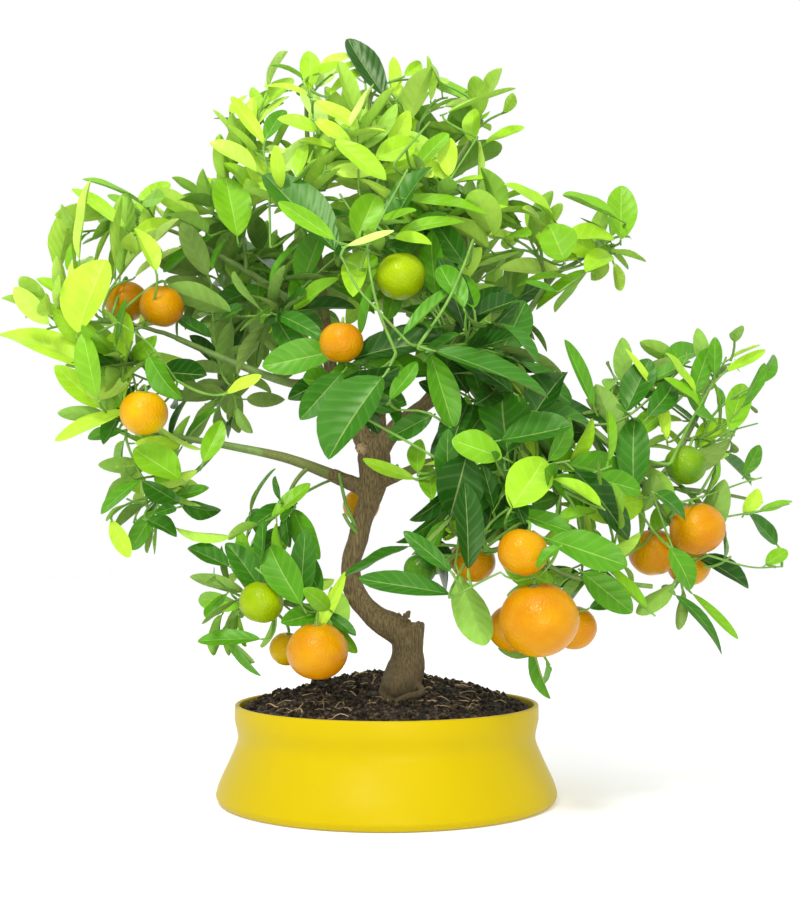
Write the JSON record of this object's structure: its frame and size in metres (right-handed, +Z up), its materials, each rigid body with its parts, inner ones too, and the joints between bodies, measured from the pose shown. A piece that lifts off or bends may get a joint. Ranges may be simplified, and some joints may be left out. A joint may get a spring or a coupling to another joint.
{
  "type": "calamondin orange tree",
  "caption": "Small orange tree with a leaning trunk and a spreading crown that bears fruit, standing in a low round yellow pot.",
  "frame": {"origin": "centre of the pot's flat underside", "axes": "+Z up along the pot's axis, +X along the crown's widest side, -Y towards the side that is usually seen"},
  "size_m": [0.5215, 0.3248, 0.4939],
  "materials": {
    "pot": "satin",
    "soil": "rough",
    "bark": "rough",
    "foliage": "satin"
  },
  "bodies": {
    "root": {"pot": "pot", "soil": "soil", "trunk": "bark", "leader_left": "bark", "leader_centre": "bark", "leader_right": "bark", "left_low_limb": "bark", "left_mid_limb": "bark", "left_high_limb": "bark", "crown_right_limb": "bark", "upright_right": "bark", "fan_limb": "bark", "right_limb": "bark", "far_limb": "bark", "low_right_limb": "bark", "low_right_twig": "bark", "low_left_limb": "bark", "back_left_limb": "bark", "back_right_limb": "bark", "crest_left": "foliage", "shoulder_left": "foliage", "crown_left": "foliage", "centre_left": "foliage", "centre_front": "foliage", "crest": "foliage", "crown_centre": "foliage", "back_top": "foliage", "centre_fruited": "foliage", "crest_right": "foliage", "crown_right_tip": "foliage", "crown_right": "foliage", "centre_mid": "foliage", "shoulder_low": "foliage", "left_spray": "foliage", "left_inner": "foliage", "left_tip": "foliage", "left_inner_low": "foliage", "left_tip_low": "foliage", "left_drop": "foliage", "hanging": "foliage", "centre_right": "foliage", "right_dark": "foliage", "fan": "foliage", "fan_tip": "foliage", "right_dark_low": "foliage", "right_light": "foliage", "low_right": "foliage", "low_right_fruit": "foliage", "low_right_out": "foliage", "right_column": "foliage", "far_rise": "foliage", "far_fruited": "foliage", "far_tip": "foliage", "far_mid": "foliage", "far_top": "foliage", "low_left": "foliage", "low_left_fruit": "foliage", "back_left": "foliage", "back_right": "foliage", "back_low": "foliage"}
  },
  "joints": []
}
